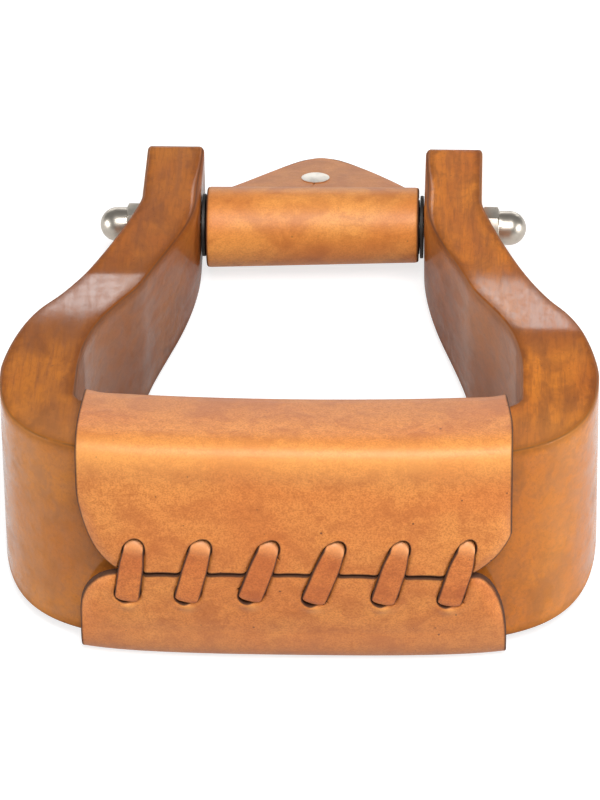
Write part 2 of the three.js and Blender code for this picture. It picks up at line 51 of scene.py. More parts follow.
camera_roll = radians(-1.202)


def new_object(name, operator, **settings):
    """A new object, the only one that is selected."""
    bpy.ops.object.select_all(action="DESELECT")
    operator(**settings)
    piece = bpy.context.object
    piece.name = piece.data.name = name
    return piece


camera = new_object("Camera", bpy.ops.object.camera_add)
turned_to = (
    Matrix.Rotation(-camera_bearing, 4, "Z")
    @ Matrix.Rotation(pi / 2 - camera_height, 4, "X")
    @ Matrix.Rotation(camera_roll, 4, "Z")
)
camera.matrix_world = Matrix.Translation(look_at) @ turned_to @ Matrix.Translation((0, 0, camera_distance))
camera.data.lens = 293.9
camera.data.sensor_width = 36
camera.data.clip_end = 20
bpy.context.scene.camera = camera
bpy.context.scene.view_settings.view_transform = "Standard"


# Floor, background and light
# A white table that runs out of sight, a wide soft lamp above and in front of the stirrup,
# a fainter panel at each side, and a long low window behind it that shines in the varnish.
class Wire:
    """A socket of a material, on which plain arithmetic works."""

    def __init__(self, finish, socket):
        self.finish = finish
        self.socket = socket

    def maths(self, operation, *terms):
        return self.finish.node("Math", {"operation": operation}, dict(enumerate(terms)))

    def __add__(self, other):
        return self.maths("ADD", self, other)

    __radd__ = __add__

    def __sub__(self, other):
        return self.maths("SUBTRACT", self, other)

    def __rsub__(self, other):
        return self.maths("SUBTRACT", other, self)

    def __mul__(self, other):
        return self.maths("MULTIPLY", self, other)

    __rmul__ = __mul__

    def most(self, other):
        return self.maths("MAXIMUM", self, other)

    def rise(self, low, high):
        """0 below low, 1 above high, smooth between."""
        settings = {"interpolation_type": "SMOOTHSTEP"}
        return self.finish.node("MapRange", settings, {"Value": self, "From Min": low, "From Max": high})


class Finish:
    """One material, with one method that adds any node."""

    def __init__(self, name, **constants):
        self.material = bpy.data.materials.new(name)
        self.material.use_nodes = True
        self.tree = self.material.node_tree
        self.shader = self.tree.nodes["Principled BSDF"]
        for socket, value in constants.items():
            self.shader.inputs[socket.replace("_", " ")].default_value = value

    def node(self, kind, settings, sockets, output=0):
        added = self.tree.nodes.new("ShaderNode" + kind)
        for key, value in settings.items():
            setattr(added, key, value)
        for key, value in sockets.items():
            self.join(value, added.inputs[key])
        return Wire(self, added.outputs[output])

    def join(self, value, socket):
        if isinstance(value, Wire):
            self.tree.links.new(value.socket, socket)
        elif hasattr(socket.default_value, "__len__") and len(socket.default_value) == 4:
            socket.default_value = (*value, 1)
        else:
            socket.default_value = value

    def paint(self, **wires):
        for socket, value in wires.items():
            self.join(value, self.shader.inputs[socket.replace("_", " ")])

    def place(self, kind="Object"):
        return self.node("TexCoord", {}, {}, kind)

    def mark(self, name):
        """The value of this name that the points of a piece carry."""
        return self.node("Attribute", {"attribute_name": name}, {}, "Fac")

    def mix(self, share, first, second):
        sockets = {0: share, 6: first, 7: second}
        return self.node("Mix", {"data_type": "RGBA"}, sockets, 2)

    def noise(self, place, size, detail, roughness, distortion=0.0, shift=(0, 0, 0)):
        """Noise whose patches are about size metres along x, y and z."""
        fine = [1 / s for s in size]
        laid_out = self.node("Mapping", {}, {"Vector": place, "Location": shift, "Scale": fine})
        sockets = {"Vector": laid_out, "Scale": 1.0, "Detail": detail, "Roughness": roughness,
                   "Distortion": distortion}
        return self.node("TexNoise", {}, sockets)

    def bump(self, height, strength, distance, under=None):
        sockets = {"Height": height, "Strength": strength, "Distance": distance}
        if under is not None:
            sockets["Normal"] = under
        return self.node("Bump", {}, sockets)


floor_white = (0.47, 0.47, 0.47)
floor_glow = 0.74
mirrored_glow = 0.55
room_light = 0.22

floor = new_object("table", bpy.ops.mesh.primitive_plane_add, size=12)
table = Finish("table_white", Roughness=0.9, Specular_IOR_Level=0.1)
table.paint(Base_Color=floor_white)
direct, mirrored, through = (
    table.node("LightPath", {}, {}, f"Is {ray} Ray") for ray in ("Camera", "Glossy", "Transmission"))
glow = table.node("Emission", {}, {"Color": (1, 1, 1), "Strength": floor_glow})
white = Wire(table, table.shader.outputs[0])
glowing = table.node("AddShader", {}, {0: white, 1: glow})
seen = direct.most(mirrored * mirrored_glow).most(through)
table.join(
    table.node("MixShader", {}, {0: seen, 1: white, 2: glowing}),
    table.tree.nodes["Material Output"].inputs["Surface"],
)
floor.data.materials.append(table.material)

surround = bpy.data.worlds.new("surround")
surround.use_nodes = True
sky = surround.node_tree.nodes["Background"]
sky.inputs["Color"].default_value = (1, 1, 1, 1)
sky.inputs["Strength"].default_value = room_light
bpy.context.scene.world = surround

# Where each lamp stands from the middle of the table, its width and height, and its power
lamps = {
    "soft_lamp": ((0.19, -0.64, 1.42), (0.8, 0.8), 22.5),
    "right_panel": ((1.90, -0.45, 0.50), (1.0, 0.6), 23),
    "left_panel": ((-1.90, -0.45, 0.50), (1.0, 0.6), 18),
    "low_window": ((0, 4.0, 0.58), (5.0, 0.55), 39),
}
for name, (stand, (width, height), power) in lamps.items():
    lamp = new_object(name, bpy.ops.object.light_add, type="AREA")
    lamp.data.shape = "RECTANGLE"
    lamp.data.size = width
    lamp.data.size_y = height
    lamp.data.energy = power
    stand = Vector(stand)
    lamp.matrix_world = Matrix.Translation(stand) @ stand.to_track_quat("Z", "Y").to_matrix().to_4x4()


# Cheeks
# Each side of the stirrup is sawn from a hardwood board to an S, made thinner towards the
# neck, drilled for the roller bolt, sanded round along its edges, stained an antique
# orange brown and varnished. Dowels join its foot to the tread board.
mm = 0.001
rest_tilt = radians(7.489)
bolt_height = 159 * mm
frame_height = 183 * mm
widest = Vector((85.9, 44.4)) * mm
half_board = 50 * mm
inner_half_tread = 63.5 * mm
outer_half_neck = 51.1 * mm
inner_half_neck = 33.8 * mm
neck_start = 151 * mm
half_depth = 33 * mm
belly_taper = 0.0982
shoulder_taper = 0.1585
neck_taper = 0.0955
wood_edge_round = 1.1 * mm
neck_edge_round = 3.8 * mm
end_round = 2.2 * mm
end_rows = 8
bolt_hole = 3.475 * mm
play = 0.3 * mm

# The finished stirrup lies on its side, on the cover and the neck ends; it is modelled
# standing on its tread and then laid down
bolt = Vector(frame["joints"][0]["pos_m"])
laid = Matrix.Rotation(-rest_tilt, 4, "X")
laid.translation = bolt - laid.to_3x3() @ Vector((0, bolt_height, 0))


def blank(name, across, along):
    """A rectangle of stock, 1 by 1, marked out in squares."""
    return new_object(name, bpy.ops.mesh.primitive_grid_add, size=1,
                      x_subdivisions=across, y_subdivisions=along)



def shaped(piece, place):
    """Moves each point of a piece to its place."""
    for point in piece.data.vertices:
        point.co = place(point.co)
    piece.data.update()


def taken_up(piece):
    """Makes a piece the only one that the next step works on."""
    bpy.ops.object.select_all(action="DESELECT")
    piece.select_set(True)
    bpy.context.view_layer.objects.active = piece


def worked(piece, kind, **settings):
    """Adds a modifier, sets it and applies it."""
    taken_up(piece)
    bpy.ops.object.modifier_add(type=kind)
    modifier = piece.modifiers[-1]
    for key, value in settings.items():
        setattr(modifier, key, value)
    bpy.ops.object.modifier_apply(modifier=modifier.name)


def trimmed(piece, operation, tool):
    """Joins, cuts or trims a piece by another one, which is then gone."""
    worked(piece, "BOOLEAN", operation=operation, object=tool, solver="MANIFOLD")
    bpy.data.objects.remove(tool)


def marked(piece, name, tell):
    """Gives each point of a piece a value, told from its place, that the finish reads."""
    values = [tell(point.co) for point in piece.data.vertices]
    piece.data.attributes.new(name, "FLOAT", "POINT").data.foreach_set("value", values)


def painted(piece, finish):
    """Gives a piece one finish all over."""
    piece.data.materials.clear()
    piece.data.materials.append(finish.material)


def edited(piece, chosen, operator, **settings):
    """Runs an edit mode operator on the points that are chosen by their place."""
    taken_up(piece)
    bpy.ops.object.mode_set(mode="EDIT")
    bpy.ops.mesh.select_mode(type="VERT")
    bpy.ops.mesh.select_all(action="DESELECT")
    bpy.ops.object.mode_set(mode="OBJECT")
    for point in piece.data.vertices:
        point.select = chosen(point.co)
    bpy.ops.object.mode_set(mode="EDIT")
    bpy.ops.mesh.select_mode(type="EDGE")
    operator(**settings)
    bpy.ops.object.mode_set(mode="OBJECT")


def everywhere(point):
    return True


def cut_edge(piece):
    """Points along the open edges of flat stock."""
    uses = Counter(edge for face in piece.data.polygons for edge in face.edge_keys)
    return [piece.data.vertices[i] for i in sorted({i for edge in uses if uses[edge] == 1 for i in edge})]


def punched(piece, hole, half_width, half_length, near, slant=0.0):
    """Cuts an oval hole in flat stock; near is how far the marked squares reach past the cut."""
    squash = half_width / half_length

    def spoke(point):
        y = point.y - hole.y
        return Vector((point.x - hole.x - slant * y, y * squash))

    edited(piece, lambda p: spoke(p).length < half_width, bpy.ops.mesh.delete, type="VERT")
    for point in cut_edge(piece):
        across = spoke(point.co)
        if across.length < half_width + near:
            x, y = across.normalized() * half_width
            point.co.xy = hole + Vector((x + slant * y / squash, y / squash))
    edited(piece, lambda p: spoke(p).length < half_width + 0.2 * near, bpy.ops.mesh.remove_doubles,
           threshold=0.3 * near)


def distance_from(places):
    """A function that tells how far a point is from the nearest of some places."""
    tree = kdtree.KDTree(len(places))
    for i, place in enumerate(places):
        tree.insert((place.x, place.y, 0), i)
    tree.balance()
    return lambda x, y: tree.find((x, y, 0))[2]


def finished(piece, finish, slot, body, *nodes, placed=laid, smooth=35):
    """Lays a piece in its place and gives it its finish, its body and the nodes it stands for."""
    taken_up(piece)
    piece.matrix_world = placed @ piece.matrix_world
    bpy.ops.object.transform_apply(location=True, rotation=True, scale=True)
    edited(piece, everywhere, bpy.ops.mesh.normals_make_consistent, inside=False)
    bpy.ops.object.shade_smooth_by_angle(angle=radians(smooth))
    painted(piece, finish)
    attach(piece, body)
    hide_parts(*nodes)


def clamped(share):
    return min(1.0, max(0.0, share))


def eased(share):
    share = clamped(share)
    return share * share * (3 - 2 * share)


def on_bezier(a, b, c, d, t):
    s = 1 - t
    return a * s ** 3 + b * (3 * s * s * t) + c * (3 * s * t * t) + d * t ** 3


# Underside of the tread, swept out and up to the widest point of a cheek
underside = [Vector(p) * mm for p in ((0, -4.45), (62.28, -4.45), (85.9, -1.33), (85.9, 44.4))]


def last_share(low, holds):
    """The last share from low to 1 at which a test still holds."""
    high = 1.0
    for _ in range(30):
        middle = (low + high) / 2
        if holds(middle):
            low = middle
        else:
            high = middle
    return low


@cache
def underside_share(x):
    return last_share(0.0, lambda t: on_bezier(*underside, t).x < x)


def underside_at(x):
    return on_bezier(*underside, underside_share(round(abs(x), 7))).y


def foot_side_at(x):
    return (22.3 + 2.2 * (x / half_board) ** 2) * mm


def spread(points, count):
    """Points at even steps along a line of points."""
    lengths = [0.0]
    for a, b in zip(points, points[1:]):
        lengths.append(lengths[-1] + (b - a).length)
    result = []
    k = 0
    for i in range(count + 1):
        wanted = lengths[-1] * i / count
        while k < len(points) - 2 and lengths[k + 1] < wanted:
            k += 1
        share = (wanted - lengths[k]) / (lengths[k + 1] - lengths[k])
        result.append(points[k].lerp(points[k + 1], share))
    return result


def s_curve(belly, middle, lean, neck, fullness):
    """Belly to neck of one face, in two bezier arcs that meet on the shoulder."""
    along = Vector((-sin(lean), cos(lean)))
    rise = middle.y - belly.y
    reach = neck.y - middle.y
    lower = [belly, belly + Vector((0, fullness[0] * rise)), middle - along * fullness[1] * rise, middle]
    upper = [middle, middle + along * fullness[2] * reach, neck - Vector((0, fullness[3] * reach)), neck]
    return lower, upper


def fillet(a, b, c, radius):
    """Centre, first spoke and turn of the arc that rounds the corner b between a and c."""
    to_a = (a - b).normalized()
    to_c = (c - b).normalized()
    half = to_a.angle(to_c) / 2
    centre = b + (to_a + to_c).normalized() * (radius / sin(half))
    first = b + to_a * (radius / tan(half)) - centre
    last = b + to_c * (radius / tan(half)) - centre
    turn = atan2(first.x * last.y - first.y * last.x, first.dot(last))
    return centre, first, turn


def on_arc(arc, share):
    centre, first, turn = arc
    spoke = first.copy()
    spoke.rotate(Matrix.Rotation(turn * share, 2))
    return centre + spoke


def cheek_lines():
    """Outer and inner outline of a cheek, foot to neck end, with as many points on each."""
    fine = [i / 60 for i in range(61)]
    start = underside_share(half_board)
    inner_belly = Vector((inner_half_tread, widest.y))
    foot_end = Vector((half_board, foot_side_at(half_board)))
    corner = Vector((inner_half_tread, foot_side_at(inner_half_tread)))
    foot_arc = fillet(foot_end, corner, inner_belly, 6 * mm)
    under = [on_bezier(*underside, start + (1 - start) * t) for t in fine]
    over = [foot_end] + [on_arc(foot_arc, t / 8) for t in range(9)] + [inner_belly]
    lines = []
    for foot, belly, shoulder, lean, half, fullness, inward in (
        (under, widest, (74.9, 84.1), 33.2, outer_half_neck, (0.13, 0.36, 0.3, 0.085), -1),
        (over, inner_belly, (47.5, 98.9), 15, inner_half_neck, (0.54, 0.24, 0.35, 0.31), 1),
    ):
        neck = Vector((half, neck_start))
        lower, upper = s_curve(belly, Vector(shoulder) * mm, radians(lean), neck, fullness)
        lower, upper = ([on_bezier(*curve, t) for t in fine] for curve in (lower, upper))
        points = []
        for part, count in (
            (foot, 40), (lower, 26), (upper, 38), ([neck, Vector((half, frame_height - end_round))], 12),
        ):
            points += spread(part, count)[1 if points else 0:]
        # The neck end is sanded round
        for i in range(1, end_rows + 1):
            angle = pi / 2 * i / end_rows
            inset = inward * end_round * (1 - cos(angle))
            points.append(Vector((half + inset, frame_height - end_round * (1 - sin(angle)))))
        lines.append(points)
    return lines


def stained_wood(name, side, stain_and_side_light, shift):
    """Orange brown stain over fine grain, darker in blotches and along the edges, varnished; with painted
    shade on the shoulder and beside the roller, painted light on the outer faces and a painted reflection
    on the inner ones.
    """
    wood = Finish(name, Specular_IOR_Level=0.06, Coat_Roughness=0.10, Coat_IOR=1.38)
    place = wood.place()
    board = wood.node("Mapping", {}, {"Vector": place, "Rotation": (rest_tilt, 0, 0), "Location": shift})
    grain = wood.noise(board, (0.0009, 0.022, 0.0012), 4, 0.60, 0.5)
    figure = wood.noise(board, (0.0035, 0.05, 0.005), 3, 0.55, 0.8)
    blotch = wood.noise(board, (0.010, 0.028, 0.014), 5, 0.62, 0.9)
    cloud = wood.noise(board, (0.035, 0.042, 0.04), 3, 0.5, 0.4)
    mottle = wood.noise(board, (0.0026, 0.0036, 0.0030), 5, 0.68, 0.5)
    speck = wood.noise(board, (0.0006, 0.0013, 0.0008), 2, 0.5)
    # The depth of stain holds painted light too: the left cheek is painted darker, the right lighter
    amber = [stain_and_side_light * c for c in (0.62, 0.186, 0.012)]
    orange = [stain_and_side_light * c for c in (0.485, 0.123, 0.008)]
    brown = (0.185, 0.048, 0.006)
    dark = (0.050, 0.016, 0.006)
    colour = wood.mix(cloud.rise(0.36, 0.62), orange, amber)
    for pattern, low, high, share in (
        (blotch, 0.44, 0.70, 0.62), (mottle, 0.44, 0.72, 0.28),
        (figure, 0.44, 0.72, 0.36), (grain, 0.46, 0.66, 0.34),
    ):
        colour = wood.mix(pattern.rise(low, high) * share, colour, brown)
    colour = wood.mix(speck.rise(0.66, 0.76) * 0.40, colour, dark)
    rim = wood.mark("rim")
    worn = wood.noise(board, (0.005, 0.009, 0.006), 4, 0.65)
    edge = 1 - (rim + worn * 0.7 - 0.38).rise(0.0, 0.30)
    colour = wood.mix(edge * 0.75, colour, brown)
    line = 1 - rim.rise(0.0, 0.075)
    colour = wood.mix(line * worn.rise(0.26, 0.52) * 0.95, colour, dark)
    # Painted shade darkens the shoulder
    upright = wood.node("Mapping", {}, {"Vector": place, "Rotation": (rest_tilt, 0, 0)})
    raised = (laid.to_3x3().inverted() @ laid.translation).y
    height = wood.node("SeparateXYZ", {}, {"Vector": upright}, "Y") - raised
    shoulder = height.rise(0.046, 0.066) * (1 - height.rise(0.098, 0.118))
    # The feet took less of the stain
    foot = 1 - height.rise(0.006, 0.036)
    colour = wood.mix(foot * 0.22, colour, (0.68, 0.29, 0.075))
    # The inner faces got the stain but little of the varnish, and the outer faces are painted paler as
    # painted light on the flanks
    facing = wood.node("SeparateXYZ", {}, {"Vector": wood.place("Normal")}, "X")
    inner = (facing * -side).rise(0.35, 0.75)
    outer = (facing * side).rise(0.35, 0.75)
    colour = wood.mix(outer * 0.22, colour, (0.75, 0.32, 0.09))
    # Painted shade on the shoulder, kept off the inner and outer faces
    colour = wood.mix(shoulder * (1 - inner) * (1 - outer) * (0.52 - 0.06 * side), colour, brown)
    # Painted shade darkens the inner faces beside the roller
    high = height.rise(0.095, 0.130)
    colour = wood.mix(inner * high * 0.45, colour, brown)
    # Painted reflection: the inner faces are painted a pale pinkish grey for the white table they mirror,
    # less beside the roller
    painted_reflection = [(1.30 + 0.42 * side) * c for c in (0.215, 0.102, 0.056)]
    colour = wood.mix(inner * (1 - high * 0.85) * (0.58 + 0.05 * side), colour, painted_reflection)
    # The varnish is thin along the edges and worn in patches
    varnish = 0.98 - 0.08 * side - inner * 0.50
    from_edge = 0.15 + rim.rise(0.05, 0.42) * 0.85
    patchy = 0.56 + (figure * 0.5 + mottle * 0.5).rise(0.38, 0.60) * 0.44
    fine = wood.bump(grain, 0.08, 0.0002)
    wood.paint(
        Base_Color=colour,
        Roughness=0.44 + blotch * 0.12 + mottle * 0.06,
        Coat_Weight=varnish * from_edge * patchy,
        Normal=wood.bump(mottle, 0.05, 0.0004, fine),
    )
    return wood


def past(y, place, softness):
    """How far y is past a place, with a soft start."""
    return (y - place + hypot(y - place, softness)) / 2


def cheek_half_depth(y, shoulder_foot, foot_softness, shoulder_head, head_softness):
    """Half the depth of a cheek, which tapers faster over the shoulder than elsewhere."""
    from_foot = past(y, shoulder_foot, foot_softness)
    from_head = past(y, shoulder_head, head_softness)
    return (half_depth - belly_taper * y - (shoulder_taper - belly_taper) * from_foot
            + (shoulder_taper - neck_taper) * from_head)


def inner_round(y):
    """Radius of the edges towards the roller, which are sanded rounder than the rest."""
    near_roller = eased((y - 122 * mm) / (30 * mm)) * (1 - 0.8 * eased((y - 158 * mm) / (22 * mm)))
    return wood_edge_round + (neck_edge_round - wood_edge_round) * near_roller


def section(row):
    """Points round one section of a cheek, as places on its face, depths below it and sides."""
    inner, outer = inner_line[row], outer_line[row]
    across = (outer - inner).normalized()
    closing = max(0.0, inner.y - (frame_height - end_round)) / end_round
    inset = end_round * (1 - sqrt(max(0.0, 1 - closing ** 2)))
    arcs = []
    for line, edge, way, rounding in (
        (inner_line, inner, across, inner_round(inner.y)), (outer_line, outer, -across, wood_edge_round),
    ):
        level = min(row, cheek_steps - end_rows - 1)
        heading = (line[level + 1] - line[max(level - 1, 0)]).normalized()
        sine = max(0.5, abs(across.x * heading.y - across.y * heading.x)) if closing == 0 else 1.0
        radius = max(0.35 * rounding, rounding - inset)
        angles = [pi / 2 * i / 6 for i in range(7)]
        arcs.append([
            (edge + way * (radius / sine * (1 - cos(angle))),
             radius * (1 - sin(angle)) + inset * wood_edge_round / end_round)
            for angle in angles])
    face = [(arcs[0][-1][0].lerp(arcs[1][-1][0], i / 6), arcs[0][-1][1]) for i in range(1, 6)]
    half = arcs[0] + face + arcs[1][::-1]
    ring = [(place, below, 1.0) for place, below in half]
    walls = [1 - 2 * i / wall_steps for i in range(1, wall_steps)]
    ring += [(*half[-1], share) for share in walls]
    ring += [(place, below, -1.0) for place, below in half[::-1]]
    ring += [(*half[0], -share) for share in walls]
    return ring + ring[:1]


wall_steps = 16
outer_line, inner_line = cheek_lines()
cheek_steps = len(outer_line) - 1
sections = [section(row) for row in range(cheek_steps + 1)]
middle_of_neck = Vector(((outer_half_neck + inner_half_neck) / 2, frame_height))
half_neck = (outer_half_neck - inner_half_neck) / 2
for share in (0.8, 0.55, 0.3, 0.0):
    sections.append([(middle_of_neck.lerp(place, share), below, way * share)
                     for place, below, way in sections[cheek_steps]])
rows_of_cheek = len(sections) - 1
round_steps = len(sections[0]) - 1
neck_end = [inner_line[-1].lerp(outer_line[-1], i / 8) for i in range(9)]
from_outline = distance_from(outer_line + inner_line + neck_end)
rim_reach = 10 * mm

# Where the shoulder of each cheek starts and ends, and how softly
for side, name, shoulder in (
    (1, "right_cheek", (68 * mm, 2 * mm, 105.5 * mm, 10 * mm)),
    (-1, "left_cheek", (70.5 * mm, 11 * mm, 103.5 * mm, 1 * mm)),
):
    cheek = blank(name + "_wood", round_steps, rows_of_cheek)

    def sawn(p):
        place, below, way = sections[round((p.y + 0.5) * rows_of_cheek)][round((p.x + 0.5) * round_steps)]
        return Vector((side * place.x, place.y, way * (cheek_half_depth(place.y, *shoulder) - below)))

    shaped(cheek, sawn)
    edited(cheek, everywhere, bpy.ops.mesh.remove_doubles, threshold=0.01 * mm)
    edited(cheek, lambda p: abs(p.x) < half_board + 0.01 * mm and p.y < neck_start,
           bpy.ops.mesh.edge_face_add)
    edited(cheek, everywhere, bpy.ops.mesh.normals_make_consistent, inside=False)
    drill = new_object(
        "drill", bpy.ops.mesh.primitive_cylinder_add, vertices=48, radius=bolt_hole, depth=60 * mm,
        rotation=(0, pi / 2, 0), location=(side * 50 * mm, bolt_height, 0))
    trimmed(cheek, "DIFFERENCE", drill)

    def from_rim(p):
        inside = cheek_half_depth(p.y, *shoulder) - abs(p.z)
        if p.y > frame_height - 0.01 * mm:
            to_rim = min(half_neck - abs(abs(p.x) - middle_of_neck.x), inside)
        else:
            to_rim = abs(from_outline(abs(p.x), p.y) - inside)
        return min(1.0, to_rim / rim_reach)

    marked(cheek, "rim", from_rim)
    # The left cheek's stain is painted darker than the right's, as painted shade for light that comes more
    # from the right
    stain = stained_wood(name + "_stain", side, 0.89 + 0.12 * side, (side * 0.13, 0.05, 0.02))
    finished(cheek, stain, "frame_wood", "frame", name)
    worked(cheek, "WEIGHTED_NORMAL", mode="FACE_AREA", keep_sharp=True)


# Tread board and dowels
# The hidden middle of the tread is a board of the same wood, held between the feet of the
# cheeks by four beech dowels. They keep the frame's shapes.
def bare_wood(name, colour, dark):
    wood = Finish(name, Roughness=0.7)
    place = wood.place()
    grain = wood.noise(place, (0.05, 0.0012, 0.0012), 4, 0.6, 0.4)
    figure = wood.noise(place, (0.08, 0.008, 0.008), 3, 0.5, 0.8)
    tone = wood.mix((grain * 0.6 + figure * 0.4).rise(0.4, 0.7), colour, dark)
    wood.paint(Base_Color=tone, Normal=wood.bump(grain, 0.15, 0.0002))
    return wood


board_wood = bare_wood("board_wood", (0.46, 0.24, 0.10), (0.26, 0.12, 0.045))
painted(frame["nodes"]["tread_board"], board_wood)
beech = bare_wood("beech", (0.62, 0.44, 0.27), (0.46, 0.29, 0.15))
for side in ("left", "right"):
    for height in ("upper", "lower"):
        painted(frame["nodes"][f"{side}_dowel_{height}"], beech)


# Tread cover
# One rectangle of thick oiled tan leather. Its corners are cut round, its edges rubbed
# smooth and dyed, and twelve slots punched in it. It is wrapped round the tread, and its
# two flaps meet in a seam under the foot, where the lace presses into them.
leather = 3.4 * mm
half_cover = 61.5 * mm
cover_stand = 4.0 * mm
cover_bend = 7 * mm
front_bend_reach = 10.8 * mm
foot_bend_reach = 7.6 * mm
crown = 2.2 * mm
crown_reach = 26 * mm
middle_draw = 0.5 * mm
end_flare = 1.7 * mm
end_lift = 2.3 * mm
lift_run = 8 * mm
seam_height = -5 * mm
seam_rise = 1.35 * mm
seam_gap = 0.55 * mm
seam_reach = 50 * mm
rest_slope = tan(rest_tilt)
cover_depth_at_foot = 34.624 * mm

# How each corner is cut, by flap (1 is the upper) and end (1 is the right): how far along
# the seam, how far up the end, how square, where the end stands, and how far it is drawn in
# on the foot side
corners = {
    (1, -1): (14 * mm, 27 * mm, 2.0, 61.5 * mm, 1.3 * mm),
    (1, 1): (11.5 * mm, 11.5 * mm, 1.4, 61.5 * mm, 2.4 * mm),
    (-1, -1): (13 * mm, 18 * mm, 2.0, 61.5 * mm, 1.3 * mm),
    (-1, 1): (10 * mm, 27 * mm, 2.0, 60.1 * mm, 1.0 * mm),
}


def cover_front(x, z):
    across = max(0.0, 1 - (z / crown_reach) ** 2)
    alongside = max(0.0, 1 - (x / half_cover) ** 14)
    share = (x / half_cover) ** 2
    sag = middle_draw * (1 - share) - end_flare * share ** 2
    return underside_at(x) - cover_stand - crown * across * alongside + sag


def cover_foot(x):
    lift = max(0.0, (abs(x) - half_cover + lift_run) / lift_run)
    return foot_side_at(x) + cover_stand + end_lift * lift ** 2


def cover_half_depth(y):
    return cover_depth_at_foot - rest_slope * (y - foot_side_at(0))


def seam_at(x, side):
    """Height of one edge of the seam, which is pulled up in the middle and gapes at its ends."""
    share = (x / seam_reach) ** 2
    return seam_height + seam_rise * max(0.0, 1 - share) + side * seam_gap * (0.5 + 0.35 * min(1.0, share))


def bend(a, b, c, reach, depth):
    """The curve by which a layer of the leather turns the corner b between a and c."""
    to_a = (a - b).normalized()
    to_c = (c - b).normalized()
    half = to_a.angle(to_c) / 2
    short_cut = (cover_bend - depth) * (1 / sin(half) - 1)
    reach -= depth / tan(half)
    pull = (4 - 4 * short_cut / (reach * cos(half))) / 3
    start = b + to_a * reach
    end = b + to_c * reach
    return start, start.lerp(b, pull), end.lerp(b, pull), end


@cache
def cover_bends(x, side, depth):
    """The two bends of one half of the section, for a layer at a depth in the leather."""
    front = cover_front(x, 1.0) + depth
    foot = cover_foot(x) - depth
    thin = depth / cos(rest_tilt)
    front_corner, foot_corner = (
        Vector((y, side * (cover_half_depth(y) - thin))) for y in (front, foot))
    first = bend(Vector((front, seam_height)), front_corner, foot_corner, front_bend_reach, depth)
    second = bend(front_corner, foot_corner, Vector((foot, 0.0)), foot_bend_reach, depth)
    return first, second


def bend_start(x, side):
    """Height at which the front of the cover starts to bend."""
    return cover_bends(round(x, 6), side, 0.0)[0][0].y


def bend_length(curve):
    points = [on_bezier(*curve, i / 16) for i in range(17)]
    return sum((b - a).length for a, b in zip(points, points[1:]))


def zone_lengths(side):
    """Flat lengths from the seam edge to the middle of the foot side."""
    first, second = cover_bends(0.0, side, leather / 2)
    return [
        abs(first[0].y - seam_at(0.0, side)),
        bend_length(first),
        (second[0] - first[3]).length,
        bend_length(second),
        abs(second[3].y),
    ]


upper_zones = zone_lengths(1)
lower_zones = zone_lengths(-1)
cover_length = sum(upper_zones) + sum(lower_zones)


def cover_rows(zones):
    """Rows of the marking out from the seam edge, close together beside the seam and in the bends."""
    fine = 17.5 * mm
    rows = [fine * i / 35 for i in range(35)]
    start = fine
    for length, count in zip([zones[0] - fine] + zones[1:], (8, 12, 3, 12, 5)):
        rows += [start + length * i / count for i in range(count)]
        start += length
    return rows


rows = cover_rows(upper_zones) + [sum(upper_zones)]
rows += [cover_length - row for row in reversed(cover_rows(lower_zones))]

# Stitches: from the upper slot, over the seam, to the lower slot, as places (x, z) on the
# face of the cover, and half the width to which each is squeezed in its upper slot
stitches = []
for x, lean, top, bottom, squeezed in (
    (-45.5, 2.0, 3.2, -11.9, 2.95), (-26.7, 3.6, 3.9, -11.3, 3.15), (-7.5, 4.6, 4.0, -10.4, 3.05),
    (11.2, 5.2, 4.0, -11.1, 3.0), (29.7, 4.1, 4.2, -11.2, 2.75), (48.5, 4.2, 3.9, -12.1, 2.6),
):
    stitches.append((Vector((x, top)) * mm, Vector((x - lean, bottom)) * mm, squeezed * mm))
lace_width = 7.2 * mm
squeeze_run = 8 * mm
press_depth = 0.9 * mm
pared_reach = 4.5 * mm
pared_depth = 1.7 * mm
upper_slot_half = 4.35 * mm
lower_slot_half = 3.9 * mm
stitch_room = 14 * mm


def stitch_half_width(squeezed, below_top):
    """Half the width of a stitch, which is squeezed where it comes up through its slot."""
    open_share = 1 - (1 - clamped(below_top / squeeze_run)) ** 2
    return squeezed + (lace_width / 2 - squeezed) * open_share


def press(x, z):
    """How far the stitches press the leather in at a place on its face; negative where it swells."""
    place = Vector((x, z))
    nearest = 1.0
    from_lower = 1.0
    for upper, lower, squeezed in stitches:
        if abs(x - upper.x) > stitch_room:
            continue
        line = lower - upper
        share = clamped((place - upper).dot(line) / line.length_squared)
        beyond = lace_width / 2 - stitch_half_width(squeezed, share * line.length)
        nearest = min(nearest, (place - upper - line * share).length + beyond)
        from_lower = min(from_lower, (place - lower - line.normalized() * 4.6 * mm).length)
    groove = press_depth * (1 - eased((nearest - 3.5 * mm) / (0.6 * mm)))
    swell = 0.22 * mm * exp(-(((nearest - 5.2 * mm) / (1.3 * mm)) ** 2))
    lip = 0.55 * mm * exp(-((from_lower / (1.7 * mm)) ** 2)) * eased((nearest - 3.7 * mm) / (0.5 * mm))
    return groove - swell - lip


def flap_at(s):
    """The flap that a row of the flat leather is on, its zones, and how far the row is from its edge."""
    if s < sum(upper_zones):
        return 1, upper_zones, s
    return -1, lower_zones, cover_length - s


def row_at(side, to_edge):
    """The row of the flat leather at a distance from the edge of a flap."""
    return to_edge if side > 0 else cover_length - to_edge


def cut_round(x, s):
    """Cuts the corners of the flat leather round and draws its ends in on the foot side."""
    side, zones, to_edge = flap_at(s)
    run, reach, square, end, draw = corners[side, 1 if x > 0 else -1]
    p = 1 - (half_cover - abs(x)) / run
    q = 1 - to_edge / reach
    if p > 0 and q > 0:
        x = copysign(half_cover - run * (1 - p * (1 - q ** square / 2) ** (1 / square)), x)
        to_edge = reach * (1 - q * (1 - p ** square / 2) ** (1 / square))
    drawn = draw * eased((to_edge - sum(zones[:2])) / (sum(zones[2:4])))
    return Vector((x * (end - drawn) / half_cover, row_at(side, to_edge), 0))


